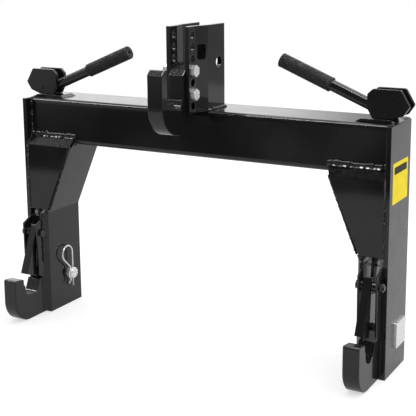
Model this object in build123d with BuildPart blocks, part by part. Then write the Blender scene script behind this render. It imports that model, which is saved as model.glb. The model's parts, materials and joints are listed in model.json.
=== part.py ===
import os
from math import asin, atan, cos, degrees, radians, sin, tan

from build123d import *

os.makedirs("parts", exist_ok=True)

# Three point quick hitch for a compact tractor. X runs across, +Y points to the tractor,
# and Z = 0 is the floor that the two legs stand on. The implement hangs on the -Y side.

# What the tractor and the implement set
hook_spread = 683.0  # middle of one lower hook to the middle of the other
mast_rise = 381.0  # lower implement pins up to the upper implement pin
lower_pin_z = 64.0  # lower implement pins above the floor
lower_pin_y = 43.0  # lower implement pins in front of the legs
lower_throat_r = 19.0
upper_pin_y = 58.0
upper_throat_r = 12.7
link_pin_d = 22.0
link_pin_y = 62.0  # tractor link pins behind the front edges of the legs
top_link_hole_d = 19.5
top_link_y = 58.0
top_link_z = 82.0  # above the beam

# Frame
hook_rise = 25.0  # upper implement pin above the top of the beam
leg_depth = 98.0
plate_t = 8.0
lean_in = 58.0  # how far the inner plates lean in under the beam
kink_z = 200.0
bend_r = 8.0
beam_depth = 104.0
beam_height = 84.0
beam_wall = 6.0
beam_r = 9.0
beam_setback = 15.0
cap_t = 6.0
cover_t = 6.0
cover_bottom = 206.0
cover_bend_drop = 88.0  # below the top of the beam
cover_weld_drop = 68.0
cover_lap = 6.0  # how much of the inner plate's edge the cover lies on

# Hooks
hook_t = 28.0
hook_reach = 91.4
hook_tip_t = 27.0
hook_tip_z = 87.0
hook_tip_fall = 4.0
hook_back_z = 71.0
hook_back_y = 28.0
hook_nose_r = 42.0
hook_tip_r = 4.0
hook_edge = 1.5
hook_mouth = 52.0
top_hook_reach = 107.0
top_hook_tip_t = 17.0
top_hook_tip_z = 81.0
top_hook_chamfer = 8.0
top_hook_floor = 33.0  # below the top of the beam
top_hook_flat = 14.0  # straight underside between its nose and the shank
shank_front_y = 40.0
shank_back_y = 6.0
shank_top_z = 86.5
shank_slope = 20.0
shank_heel = 6.0  # how far the back of the shank reaches below the top of the beam

# Mast
mast_t = 8.0
mast_front_y = 33.0
mast_back_y = 79.0
mast_height = 148.0
mast_splay = 7.0
splay_to = 20.0
mast_hole_y = 20.0
mast_hole_d = 13.0
mast_hole_pitch = 20.0
mast_hole_first = 13.0
mast_hole_count = 7
mast_bolt_d = 12.0
mast_bolt_af = 18.0
mast_bolt_head = 7.5
mast_nut_t = 10.0

# Latches
cheek_t = 3.0
cheek_top = 191.0
cheek_reach = 25.0
cheek_crown_y = 4.0  # where the top edge starts to fall, in front of the leg
cheek_crown_fall = 10.0
cheek_chin_z = 80.0
cheek_chin_y = 23.0
cheek_foot_z = 68.0
latch_w = 15.0
latch_wall = 4.0
latch_lean = 22.5
latch_front = 7.5  # the front face before the pivot
latch_above = 14.5  # along the front face, from the pivot
latch_below = 82.0
latch_foot_depth = 31.0
latch_neck_below = 16.5
latch_neck = 2.0
latch_pivot_y = -13.0
latch_pivot_z = 162.0
latch_bolt_d = 8.0
latch_bolt_af = 13.0
latch_bolt_head = 5.3
latch_nut_t = 6.5
latch_bolt_end = 2.0
spacer_wall = 4.0
latch_arm = 24.0
latch_pin_d = 6.0
latch_pin_ear_r = 7.0
rod_lift = 17.0
rod_lean = 8.5
rod_d = 8.0
slot_room = 2.0
tab_w = 16.0
tab_t = 5.0
tab_length = 24.0
link_length = 46.0
link_bolt_d = 10.0
link_bolt_af = 16.0
link_bolt_head = 6.4
link_nut_t = 6.0
spring_wire = 2.6
spring_d = 17.0
spring_pitch = 17.0
collar_rise = 34.0  # collar above the link bolt, along the rod
collar_t = 3.0

# Levers
lever_turn = 56.0
base_t = 5.0
base_length = 72.0
base_inset = 12.0
base_w = 40.0
base_slope = 10.0
cam_t = 6.0
cam_seat = 12.0  # pin above the flat that the cams stand on
cam_toe = 20.3
cam_heel = 10.8
cam_open_from = 13.5  # the flat that they stand on when open, along itself from the pin
cam_open_to = 31.7
cam_top = 36.0
cam_top_out = 26.3
cam_top_in = 20.3
cam_side = 29.5
cam_side_low = 4.8
cam_side_high = 27.4
cam_corner_r = 4.0
lever_pin_d = 8.0
lever_pin_sink = 1.0  # the pin's ends inside the cams' faces
barrel_d = 16.0
bar_d = 19.0
bar_angle = 22.5
bar_drop = 3.5
bar_start = 11.0
grip_start = 103.0
grip_length = 99.0
grip_d = 25.0
grip_edge = 1.8
grip_end_t = 8.0
grip_hole_d = 5.0

# Link pins and their clips
head_w = 46.0
head_h = 43.0
head_t = 5.0
head_r = 2.0
pin_stickout = 12.5
pin_edge = 1.5
clip_wire = 3.2
clip_inset = 5.0
clip_loop_r = 15.5
clip_rise = 43.5
clip_tail = 27.0
clip_lean = 45.0
clip_flare = 10.0

# Clearances
running = 0.06
gap = 0.3
slip = 0.05

# Places that follow from the sizes
leg_height = lower_pin_z + mast_rise - hook_rise
cover_bend = leg_height - cover_bend_drop
cover_weld = leg_height - cover_weld_drop
top_hook_nose_r = top_hook_reach - shank_front_y - top_hook_flat
front_y = (top_hook_reach - beam_setback - beam_depth) / 2
hook_x = hook_spread / 2
channel_w = hook_t + 2 * cheek_t
outer_in = hook_x + channel_w / 2
outer_out = outer_in + plate_t
inner_out = hook_x - channel_w / 2
inner_in = inner_out - plate_t
beam_bottom = leg_height - beam_height
beam_front = front_y + beam_setback
beam_mid_y = beam_front + beam_depth / 2
beam_mid_z = leg_height - beam_height / 2
lean_angle = atan(lean_in / (beam_bottom - kink_z))
flap_angle = atan(beam_setback / (cover_weld - cover_bend))
mast_in = hook_t / 2
swing_half = asin(rod_lift / 2 / latch_arm)
latch_swing = degrees(2 * swing_half)
arm_start = swing_half + radians(rod_lean)
arm_pin_y = front_y + latch_pivot_y + latch_arm * cos(arm_start)
arm_pin_z = latch_pivot_z - latch_arm * sin(arm_start)
lever_pin_z = leg_height + base_t + cam_seat + gap
lever_y = arm_pin_y + (lever_pin_z - arm_pin_z) * tan(radians(rod_lean))
rod_length = (lever_pin_z - arm_pin_z) / cos(radians(rod_lean))
cam_gap = bar_d
link_w = latch_w - 2 * latch_wall
latch_x = hook_x - tab_t / 2
upper_pin_z = lower_pin_z + mast_rise
splay_from = mast_bolt_af / 2 + 2 * gap - mast_hole_y


def leg_plane(x):
    return Plane(origin=(x, front_y, 0), x_dir=(0, 1, 0), z_dir=(1, 0, 0))


def wall_plane(y):
    return Plane(origin=(0, y, 0), x_dir=(1, 0, 0), z_dir=(0, -1, 0))


def rod_plane(x):
    lean = radians(rod_lean)
    return Plane(origin=(x, lever_y, lever_pin_z), x_dir=(0, cos(lean), -sin(lean)), z_dir=(1, 0, 0))


def inner_face_x(z):
    return inner_in - (z - kink_z) * tan(lean_angle)


# Beam: a rectangular tube with a slot at each end for the pull rods
with BuildPart() as top_beam:
    with BuildSketch(Plane.YZ.offset(-outer_in)) as tube_section:
        with Locations((beam_mid_y, beam_mid_z)):
            RectangleRounded(beam_depth, beam_height, beam_r)
            RectangleRounded(
                beam_depth - 2 * beam_wall,
                beam_height - 2 * beam_wall,
                beam_r - beam_wall,
                mode=Mode.SUBTRACT,
            )
    extrude(amount=2 * outer_in)
    for wall_z in (beam_bottom, leg_height - beam_wall):
        rod_y = lever_y - (lever_pin_z - wall_z - beam_wall / 2) * tan(radians(rod_lean))
        with BuildSketch(Plane.XY.offset(wall_z + beam_wall / 2)) as rod_slots:
            with Locations((-hook_x, rod_y), (hook_x, rod_y)):
                SlotOverall(tab_w + 2 * slot_room, rod_d + 2 * slot_room, rotation=90)
        extrude(amount=beam_wall, both=True, mode=Mode.SUBTRACT)
top_beam.part.label = "top_beam"

with BuildPart() as right_beam_cap:
    with BuildSketch(Plane.YZ.offset(outer_in - cap_t)) as cap_outline:
        with Locations((beam_mid_y, beam_mid_z)):
            RectangleRounded(
                beam_depth - 2 * beam_wall - 2 * slip,
                beam_height - 2 * beam_wall - 2 * slip,
                beam_r - beam_wall,
            )
    extrude(amount=cap_t)
right_beam_cap.part.label = "right_beam_cap"

# Outer plate: a flat bar that closes the beam's end and stands on the floor
with BuildPart() as right_outer_plate:
    with BuildSketch(leg_plane(outer_in)) as outer_outline:
        with Locations((leg_depth / 2, leg_height / 2)):
            Rectangle(leg_depth, leg_height)
        with Locations((link_pin_y, lower_pin_z)):
            Circle(link_pin_d / 2 + slip, mode=Mode.SUBTRACT)
    extrude(amount=plate_t)
right_outer_plate.part.label = "right_outer_plate"

# Inner plate: bent inward under the beam, its front edge cut back where the cover lies on it
with BuildPart() as right_inner_plate:
    thickness_x = plate_t / cos(lean_angle)
    with BuildSketch(wall_plane(front_y)) as bent_profile:
        with BuildLine() as bent_line:
            Polyline(
                (inner_in, 0),
                (inner_in, kink_z),
                (inner_face_x(beam_bottom), beam_bottom),
                (inner_face_x(beam_bottom) + thickness_x, beam_bottom),
                (inner_out, kink_z + plate_t * tan(lean_angle / 2)),
                (inner_out, 0),
                close=True,
            )
        make_face()
        bends = bent_profile.vertices().filter_by_position(Axis.Y, kink_z - plate_t, kink_z + plate_t)
        fillet(bends.sort_by(Axis.X)[0], bend_r)
        bends = bent_profile.vertices().filter_by_position(Axis.Y, kink_z, kink_z + plate_t)
        fillet(bends.sort_by(Axis.X)[-1], bend_r + plate_t)
    extrude(amount=-leg_depth)
    with BuildSketch(wall_plane(front_y + cover_t)) as horn_profile:
        horn_top = beam_bottom + beam_setback
        with BuildLine():
            Polyline(
                (inner_face_x(beam_bottom), beam_bottom),
                (inner_face_x(horn_top), horn_top),
                (inner_face_x(horn_top) + thickness_x, horn_top),
                (inner_face_x(beam_bottom) + thickness_x, beam_bottom),
                close=True,
            )
        make_face()
    extrude(amount=-(beam_setback - cover_t))
    with BuildSketch(leg_plane(0)) as flap_shadow:
        flap_back = cover_bend - cover_t * tan(flap_angle / 2)
        flap_top = cover_weld - cover_t / sin(flap_angle)
        with BuildLine():
            Polyline(
                (-cover_t, cover_bottom),
                (cover_t, cover_bottom),
                (cover_t, flap_back),
                (beam_setback, flap_top),
                (beam_setback, cover_weld + cover_t),
                (-cover_t, cover_weld + cover_t),
                close=True,
            )
        make_face()
    extrude(amount=outer_out, mode=Mode.SUBTRACT)
    with BuildSketch(leg_plane(inner_in)) as link_hole:
        with Locations((link_pin_y, lower_pin_z)):
            Circle(link_pin_d / 2 + slip)
    extrude(amount=plate_t, mode=Mode.SUBTRACT)
right_inner_plate.part.label = "right_inner_plate"

# Cover: closes the front of the leg, its top bent back onto the beam
with BuildPart() as right_cover_plate:
    with BuildSketch(leg_plane(inner_face_x(cover_weld))) as cover_section:
        with BuildLine():
            Polyline(
                (0, cover_bottom),
                (0, cover_bend),
                (beam_setback, cover_weld),
                (beam_setback, cover_weld - cover_t / sin(flap_angle)),
                (cover_t, cover_bend - cover_t * tan(flap_angle / 2)),
                (cover_t, cover_bottom),
                close=True,
            )
        make_face()
    extrude(amount=outer_in - inner_face_x(cover_weld))
    with BuildSketch(wall_plane(front_y - 1)) as cover_outline:
        cover_edge = plate_t / cos(lean_angle) - cover_lap
        with BuildLine():
            Polyline(
                (inner_face_x(cover_bottom) + cover_edge, cover_bottom),
                (inner_face_x(cover_weld) + cover_edge, cover_weld),
                (outer_in, cover_weld),
                (outer_in, cover_bottom),
                close=True,
            )
        make_face()
    extrude(amount=-(beam_setback + 2), mode=Mode.INTERSECT)
right_cover_plate.part.label = "right_cover_plate"

# Lower hook: thick plate with a funnel throat, held between the two cheeks
with BuildPart() as right_lower_hook:
    with BuildSketch(leg_plane(hook_x - hook_t / 2)) as hook_outline:
        tip_back = hook_tip_t - hook_reach
        with BuildLine():
            Polyline(
                (-hook_reach, 0),
                (-hook_reach, hook_tip_z),
                (tip_back, hook_tip_z - hook_tip_fall),
                (tip_back, hook_back_z),
                (hook_back_y, hook_back_z),
                (hook_back_y, 0),
                close=True,
            )
        make_face()
        with BuildSketch(mode=Mode.SUBTRACT) as lower_throat:
            with Locations((-lower_pin_y, lower_pin_z)):
                Circle(lower_throat_r)
            with Locations((tip_back + hook_mouth / 2, hook_tip_z + hook_mouth / 2)):
                Rectangle(hook_mouth, hook_mouth)
            make_hull()
        nose = hook_outline.vertices().sort_by(Axis.Y).group_by(Axis.Y)[0].sort_by(Axis.X)[0]
        fillet(nose, hook_nose_r)
        tip = hook_outline.vertices().sort_by(Axis.Y)[-2:]
        fillet(tip, hook_tip_r)
    extrude(amount=hook_t)
    chamfer(right_lower_hook.faces().sort_by(Axis.Y)[0].edges().filter_by(Axis.Z), hook_edge)
right_lower_hook.part.label = "right_lower_hook"

# Latch cheeks: thin plates on both faces of the hook that carry the latch's bolt
with BuildPart() as right_cheek_outer:
    with BuildSketch(leg_plane(outer_in - cheek_t)) as cheek_outline:
        with BuildLine():
            Polyline(
                (hook_back_y, 0),
                (hook_back_y, cheek_top),
                (-cheek_crown_y, cheek_top),
                (-cheek_reach, cheek_top - cheek_crown_fall),
                (-cheek_chin_y, cheek_chin_z),
                (0, cheek_foot_z),
                (0, 0),
                close=True,
            )
        make_face()
        with Locations((latch_pivot_y, latch_pivot_z)):
            Circle(latch_bolt_d / 2 + slip, mode=Mode.SUBTRACT)
    extrude(amount=cheek_t)
right_cheek_outer.part.label = "right_cheek_outer"

with BuildPart() as right_cheek_inner:
    mirror(right_cheek_outer.part, about=Plane.YZ.offset(hook_x))
right_cheek_inner.part.label = "right_cheek_inner"

# Latch: folded channel, narrow at its pivot and deep at the foot that shuts the throat
front_dir = Vector(sin(radians(latch_lean)), cos(radians(latch_lean)))
latch_back = Vector(front_dir.Y, -front_dir.X)
latch_pivot = Vector(latch_pivot_y, latch_pivot_z)
latch_top = latch_pivot + front_dir * latch_above - latch_back * latch_front
latch_foot = latch_pivot - front_dir * latch_below - latch_back * latch_front
latch_heel = latch_foot + latch_back * latch_foot_depth
latch_nape = latch_pivot - front_dir * latch_neck_below + latch_back * latch_neck
ear_pin = Vector(arm_pin_y - front_y, arm_pin_z)
with BuildPart() as right_latch:
    with BuildSketch(leg_plane(latch_x - latch_w / 2)) as latch_side:
        with BuildLine():
            Polyline(latch_foot, latch_top, latch_pivot, latch_nape, latch_heel, close=True)
        make_face()
        with BuildSketch() as ear:
            with Locations((latch_pivot_y, latch_pivot_z)):
                Circle(latch_front)
            with Locations((ear_pin.X, ear_pin.Y)):
                Circle(latch_pin_ear_r)
            make_hull()
    extrude(amount=latch_w)
    with BuildSketch(leg_plane(latch_x - link_w / 2)) as latch_inside:
        inset = latch_back * latch_wall
        far_back = latch_back * (latch_foot_depth + latch_arm)
        with BuildLine():
            Polyline(
                latch_foot + inset - front_dir,
                latch_top + inset + front_dir * latch_arm,
                latch_top + far_back + front_dir * latch_arm,
                latch_foot + far_back - front_dir,
                close=True,
            )
        make_face()
    extrude(amount=link_w, mode=Mode.SUBTRACT)
    with BuildSketch(leg_plane(latch_x - latch_w / 2)) as latch_bores:
        with Locations((latch_pivot_y, latch_pivot_z)):
            Circle(latch_bolt_d / 2 + running)
        with Locations((ear_pin.X, ear_pin.Y)):
            Circle(latch_pin_d / 2 + slip)
    extrude(amount=latch_w, mode=Mode.SUBTRACT)
right_latch.part.label = "right_latch"

with BuildPart() as right_latch_bolt:
    with BuildSketch(leg_plane(inner_out - latch_bolt_head)) as latch_bolt_hex:
        with Locations((latch_pivot_y, latch_pivot_z)):
            RegularPolygon(latch_bolt_af / 2, 6, major_radius=False, rotation=30)
    extrude(amount=latch_bolt_head)
    with BuildSketch(leg_plane(inner_out)) as latch_bolt_shank:
        with Locations((latch_pivot_y, latch_pivot_z)):
            Circle(latch_bolt_d / 2)
    extrude(amount=channel_w + latch_nut_t + latch_bolt_end)
right_latch_bolt.part.label = "right_latch_bolt"

with BuildPart() as right_latch_nut:
    with BuildSketch(leg_plane(outer_in)) as latch_nut_hex:
        with Locations((latch_pivot_y, latch_pivot_z)):
            RegularPolygon(latch_bolt_af / 2, 6, major_radius=False, rotation=30)
            Circle(latch_bolt_d / 2 + slip, mode=Mode.SUBTRACT)
    extrude(amount=latch_nut_t)
right_latch_nut.part.label = "right_latch_nut"

with BuildPart() as right_latch_spacers:
    inner_gap = (inner_out + cheek_t, latch_x - latch_w / 2 - gap)
    outer_gap = (latch_x + latch_w / 2 + gap, outer_in - cheek_t)
    for spacer_from, spacer_to in (inner_gap, outer_gap):
        with BuildSketch(leg_plane(spacer_from)) as spacer_ring:
            with Locations((latch_pivot_y, latch_pivot_z)):
                Circle(latch_bolt_d / 2 + spacer_wall)
                Circle(latch_bolt_d / 2 + slip, mode=Mode.SUBTRACT)
        extrude(amount=spacer_to - spacer_from)
right_latch_spacers.part.label = "right_latch_spacers"

with BuildPart() as right_latch_pin:
    with BuildSketch(leg_plane(latch_x - latch_w / 2)) as latch_pin_round:
        with Locations((ear_pin.X, ear_pin.Y)):
            Circle(latch_pin_d / 2)
    extrude(amount=latch_w)
right_latch_pin.part.label = "right_latch_pin"

# Pull rod: a barrel on the lever's pin, a round bar down through the beam, a flat tab
tab_v = link_length - rod_length
with BuildPart() as right_pull_rod:
    with BuildSketch(rod_plane(hook_x)) as tab_outline:
        with BuildSketch() as tab_hull:
            with Locations((0, tab_v), (0, tab_v + tab_length)):
                Circle(tab_w / 2)
            make_hull()
        with Locations((0, tab_v)):
            Circle(link_bolt_d / 2 + slip, mode=Mode.SUBTRACT)
    extrude(amount=tab_t)
    rod_up = rod_plane(hook_x).y_dir
    rod_foot = rod_plane(hook_x).from_local_coords(Vector(0, tab_v + tab_length, 0))
    with BuildSketch(Plane(origin=rod_foot, x_dir=(1, 0, 0), z_dir=rod_up)) as rod_section:
        Circle(rod_d / 2)
    extrude(amount=-(tab_v + tab_length))
    collar_at = rod_plane(hook_x).from_local_coords(Vector(0, tab_v + collar_rise, 0))
    with BuildSketch(Plane(origin=collar_at, x_dir=(1, 0, 0), z_dir=rod_up)) as collar_ring:
        Circle(spring_d / 2 + spring_wire / 2)
    extrude(amount=-collar_t)
    with BuildSketch(wall_plane(lever_y - cam_gap / 2 + gap)) as barrel_round:
        with Locations((hook_x, lever_pin_z)):
            Circle(barrel_d / 2)
    extrude(amount=-(cam_gap - 2 * gap))
    with BuildSketch(wall_plane(lever_y - cam_gap / 2)) as barrel_bore:
        with Locations((hook_x, lever_pin_z)):
            Circle(lever_pin_d / 2 + running)
    extrude(amount=-cam_gap, mode=Mode.SUBTRACT)
right_pull_rod.part.label = "right_pull_rod"

with BuildPart() as right_rod_link:
    with BuildSketch(rod_plane(hook_x - tab_t)) as link_outline:
        sagitta = latch_arm * (1 - cos(swing_half))
        with BuildSketch() as link_hull:
            with Locations((0, tab_v), (0, -rod_length)):
                Circle(tab_w / 2)
            make_hull()
        with Locations((0, tab_v)):
            Circle(link_bolt_d / 2 + slip, mode=Mode.SUBTRACT)
        with Locations((sagitta / 2, -rod_length)):
            SlotOverall(latch_pin_d + sagitta + 2 * gap, latch_pin_d + 2 * gap, mode=Mode.SUBTRACT)
    extrude(amount=tab_t)
right_rod_link.part.label = "right_rod_link"

with BuildPart() as right_link_bolt:
    with BuildSketch(rod_plane(hook_x + tab_t)) as link_bolt_hex:
        with Locations((0, tab_v)):
            RegularPolygon(link_bolt_af / 2, 6, major_radius=False)
    extrude(amount=link_bolt_head)
    with BuildSketch(rod_plane(hook_x - tab_t - link_nut_t)) as link_bolt_shank:
        with Locations((0, tab_v)):
            Circle(link_bolt_d / 2)
    extrude(amount=2 * tab_t + link_nut_t)
right_link_bolt.part.label = "right_link_bolt"

with BuildPart() as right_link_nut:
    with BuildSketch(rod_plane(hook_x - tab_t - link_nut_t)) as link_nut_hex:
        with Locations((0, tab_v)):
            RegularPolygon(link_bolt_af / 2, 6, major_radius=False)
            Circle(link_bolt_d / 2 + slip, mode=Mode.SUBTRACT)
    extrude(amount=link_nut_t)
right_link_nut.part.label = "right_link_nut"

# Lever base: low block on the beam that the cam plates stand on
with BuildPart() as right_lever_base:
    with BuildSketch(wall_plane(lever_y - base_w / 2)) as base_profile:
        with BuildLine():
            Polyline(
                (hook_x - base_inset - base_length / 2, leg_height),
                (hook_x - base_inset - base_length / 2 + base_slope, leg_height + base_t),
                (hook_x - base_inset + base_length / 2 - base_slope, leg_height + base_t),
                (hook_x - base_inset + base_length / 2, leg_height),
                close=True,
            )
        make_face()
    extrude(amount=-base_w)
    base_rod_y = lever_y - (lever_pin_z - leg_height - base_t / 2) * tan(radians(rod_lean))
    with BuildSketch(Plane.XY.offset(leg_height)) as base_slot:
        with Locations((hook_x, base_rod_y)):
            SlotOverall(tab_w + 2 * slot_room, rod_d + 2 * slot_room, rotation=90)
    extrude(amount=base_t, mode=Mode.SUBTRACT)
right_lever_base.part.label = "right_lever_base"

# Cam plates: flats that rest on the base with the latch shut and with it open
open_out = Vector(sin(radians(lever_turn)), -cos(radians(lever_turn))) * (cam_seat + rod_lift - gap)
open_along = Vector(cos(radians(lever_turn)), sin(radians(lever_turn)))
cam_points = [
    (-cam_toe, -cam_seat),
    (cam_heel, -cam_seat),
    open_out + open_along * cam_open_from,
    open_out + open_along * cam_open_to,
    (cam_top_out, cam_top),
    (-cam_top_in, cam_top),
    (-cam_side, cam_side_high),
    (-cam_side, cam_side_low),
]
with BuildPart() as right_cam_front:
    with BuildSketch(wall_plane(lever_y - cam_gap / 2 - cam_t)) as cam_outline:
        with Locations((hook_x, lever_pin_z)):
            with BuildLine(mode=Mode.PRIVATE) as cam_line:
                Polyline(*cam_points, close=True)
            add(make_face(cam_line.edges(), mode=Mode.PRIVATE))
        fillet(cam_outline.vertices(), cam_corner_r)
        with Locations((hook_x, lever_pin_z)):
            Circle(lever_pin_d / 2 + slip, mode=Mode.SUBTRACT)
    extrude(amount=-cam_t)
right_cam_front.part.label = "right_cam_front"

with BuildPart() as right_cam_rear:
    mirror(right_cam_front.part, about=wall_plane(lever_y))
right_cam_rear.part.label = "right_cam_rear"

with BuildPart() as right_lever_pin:
    with BuildSketch(wall_plane(lever_y - cam_gap / 2 - cam_t + lever_pin_sink)) as lever_pin_round:
        with Locations((hook_x, lever_pin_z)):
            Circle(lever_pin_d / 2)
    extrude(amount=-(cam_gap + 2 * cam_t - 2 * lever_pin_sink))
right_lever_pin.part.label = "right_lever_pin"

# Lever bar and grip lean up and inboard from between the cam plates
bar_dir = Vector(-cos(radians(bar_angle)), 0, sin(radians(bar_angle)))
bar_down = Vector(-sin(radians(bar_angle)), 0, -cos(radians(bar_angle)))
bar_origin = Vector(hook_x, lever_y, lever_pin_z) + bar_down * bar_drop
bar_plane = Plane(origin=bar_origin, x_dir=(0, 1, 0), z_dir=bar_dir)
with BuildPart() as right_lever_bar:
    with BuildSketch(bar_plane.offset(bar_start)) as bar_section:
        Circle(bar_d / 2)
    extrude(amount=grip_start + grip_length - grip_end_t - bar_start)
right_lever_bar.part.label = "right_lever_bar"

with BuildPart() as right_grip:
    with BuildSketch(bar_plane.offset(grip_start)) as grip_section:
        Circle(grip_d / 2)
    extrude(amount=grip_length)
    chamfer(right_grip.edges().filter_by(GeomType.CIRCLE), grip_edge)
    with BuildSketch(bar_plane.offset(grip_start - 1)) as grip_bore:
        Circle(bar_d / 2 + slip)
    extrude(amount=grip_length - grip_end_t + 1, mode=Mode.SUBTRACT)
    with BuildSketch(bar_plane.offset(grip_start)) as grip_hole:
        Circle(grip_hole_d / 2)
    extrude(amount=grip_length + 1, mode=Mode.SUBTRACT)
right_grip.part.label = "right_grip"

# Link pin: the tractor's lower arm goes on it between the two leg plates
with BuildPart() as right_link_pin:
    with BuildSketch(leg_plane(outer_out)) as head_outline:
        with Locations((link_pin_y, lower_pin_z)):
            RectangleRounded(head_w, head_h, head_r)
    extrude(amount=head_t)
    with BuildSketch(leg_plane(inner_in - pin_stickout)) as pin_round:
        with Locations((link_pin_y, lower_pin_z)):
            Circle(link_pin_d / 2)
    extrude(amount=outer_out - inner_in + pin_stickout)
    chamfer(right_link_pin.faces().sort_by(Axis.X)[0].edges(), pin_edge)
    with BuildSketch(Plane.XY.offset(lower_pin_z - link_pin_d)) as clip_hole:
        with Locations((inner_in - pin_stickout + clip_inset, front_y + link_pin_y)):
            Circle(clip_wire / 2 + slip)
    extrude(amount=2 * link_pin_d, mode=Mode.SUBTRACT)
right_link_pin.part.label = "right_link_pin"

# Clip: a straight leg through the pin, a loop, and a wavy leg that grips the pin's front
clip_x = inner_in - pin_stickout + clip_inset
clip_wave_r = link_pin_d / 2 + clip_wire / 2 + slip
lean = radians(clip_lean)
loop_mid = Vector(link_pin_y - clip_loop_r, lower_pin_z + clip_rise)
loop_end = loop_mid - Vector(cos(lean), sin(lean)) * clip_loop_r
crest = Vector(link_pin_y - clip_wave_r / cos(lean), lower_pin_z)
fall = Vector(sin(lean), -cos(lean))
climb = Vector(sin(lean), cos(lean))
waist_run = ((loop_end.Y - crest.Y) / cos(lean) + (loop_end.X - crest.X) / sin(lean)) / 2
waist = crest + climb * waist_run
low_waist = crest + fall * waist_run
clip_foot = low_waist - climb * clip_flare
with BuildPart() as right_r_clip:
    with BuildLine(leg_plane(clip_x)) as clip_path:
        straight = Line((link_pin_y, lower_pin_z - clip_tail), (link_pin_y, loop_mid.Y))
        loop = CenterArc((loop_mid.X, loop_mid.Y), clip_loop_r, 0, 180 + clip_lean)
        wavy_points = [(p.X, p.Y) for p in (loop_end, waist, crest, low_waist, clip_foot)]
        wavy = FilletPolyline(*wavy_points, radius=[clip_wire, clip_wave_r, clip_wire])
    with BuildSketch(Plane(origin=straight @ 0, z_dir=straight % 0)) as wire_section:
        RegularPolygon(clip_wire / 2, 8)
    sweep(path=Wire(clip_path.edges()))
right_r_clip.part.label = "right_r_clip"

# Spring: pushes the collar of the pull rod down from the underside of the beam
spring_tilt = (spring_d / 2 + spring_wire / 2) * tan(radians(rod_lean))
spring_top = (lever_pin_z - beam_bottom) / cos(radians(rod_lean)) + spring_tilt + spring_wire / 2 + gap
spring_height = -tab_v - collar_rise - spring_top - spring_wire / 2 - gap
spring_foot = rod_plane(hook_x).from_local_coords(Vector(0, -spring_top - spring_height, 0))
with BuildPart() as right_spring:
    with BuildLine(Plane(origin=spring_foot, x_dir=(1, 0, 0), z_dir=rod_up)) as spring_path:
        Helix(spring_pitch, spring_height, spring_d / 2, direction=rod_up)
    spring_start = spring_path.wires()[0]
    with BuildSketch(Plane(origin=spring_start @ 0, z_dir=spring_start % 0)) as spring_section:
        RegularPolygon(spring_wire / 2, 6)
    sweep(path=spring_start, is_frenet=True)
right_spring.part.label = "right_spring"

# Mast: two plates, close together on the hook and splayed apart for the tractor's top link
mast_back_in = mast_in + mast_splay
with BuildPart() as right_mast_plate:
    with BuildSketch(Plane.XY.offset(leg_height)) as mast_section:
        with BuildLine():
            Polyline(
                (mast_in, front_y - mast_front_y),
                (mast_in, front_y + splay_from),
                (mast_back_in, front_y + splay_to),
                (mast_back_in, front_y + mast_back_y),
                (mast_back_in + mast_t, front_y + mast_back_y),
                (mast_back_in + mast_t, front_y + splay_to),
                (mast_in + mast_t, front_y + splay_from),
                (mast_in + mast_t, front_y - mast_front_y),
                close=True,
            )
        make_face()
    extrude(amount=mast_height)
    with BuildSketch(leg_plane(mast_in - 1)) as mast_holes:
        for level in range(mast_hole_count):
            with Locations((-mast_hole_y, leg_height + mast_hole_first + level * mast_hole_pitch)):
                Circle(mast_hole_d / 2)
        with Locations((top_link_y, leg_height + top_link_z)):
            Circle(top_link_hole_d / 2)
    extrude(amount=mast_splay + mast_t + 2, mode=Mode.SUBTRACT)
right_mast_plate.part.label = "right_mast_plate"

# Top hook: thick casting between the mast plates, bolted at the second and fourth holes
bolt_levels = [leg_height + mast_hole_first + n * mast_hole_pitch for n in (1, 3)]
tip_z = leg_height + top_hook_tip_z
with BuildPart() as top_hook:
    with BuildSketch(leg_plane(-hook_t / 2)) as top_hook_outline:
        with BuildLine():
            Polyline(
                (-top_hook_reach, tip_z - top_hook_chamfer),
                (top_hook_chamfer - top_hook_reach, tip_z),
                (top_hook_tip_t - top_hook_reach, tip_z),
                (top_hook_tip_t - top_hook_reach, upper_pin_z),
                (-shank_front_y, upper_pin_z),
                (-shank_front_y, leg_height + shank_top_z - shank_slope),
                (shank_slope - shank_front_y, leg_height + shank_top_z),
                (-shank_back_y, leg_height + shank_top_z),
                (-shank_back_y, leg_height - shank_heel),
                (-shank_front_y, leg_height - top_hook_floor),
                (-top_hook_reach, leg_height - top_hook_floor),
                close=True,
            )
        make_face()
        with BuildSketch(mode=Mode.SUBTRACT) as upper_throat:
            with Locations((-upper_pin_y, upper_pin_z)):
                Circle(upper_throat_r)
            mouth = top_hook_reach - top_hook_tip_t - shank_front_y
            with Locations((-shank_front_y - mouth / 2, tip_z + mouth / 2)):
                Rectangle(mouth, mouth)
            make_hull()
        nose = top_hook_outline.vertices().sort_by(Axis.Y).group_by(Axis.Y)[0].sort_by(Axis.X)[0]
        fillet(nose, top_hook_nose_r)
        for level in bolt_levels:
            with Locations((-mast_hole_y, level)):
                Circle(mast_hole_d / 2, mode=Mode.SUBTRACT)
    extrude(amount=hook_t)
top_hook.part.label = "top_hook"

bolt_face = mast_in + mast_t
with BuildPart() as mast_bolts:
    with BuildSketch(leg_plane(bolt_face)) as mast_bolt_hex:
        for level in bolt_levels:
            with Locations((-mast_hole_y, level)):
                RegularPolygon(mast_bolt_af / 2, 6, major_radius=False, rotation=30)
    extrude(amount=mast_bolt_head)
    with BuildSketch(leg_plane(bolt_face)) as mast_bolt_shank:
        for level in bolt_levels:
            with Locations((-mast_hole_y, level)):
                Circle(mast_bolt_d / 2)
    extrude(amount=-(2 * bolt_face + mast_nut_t + 3))
mast_bolts.part.label = "mast_bolts"

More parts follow.
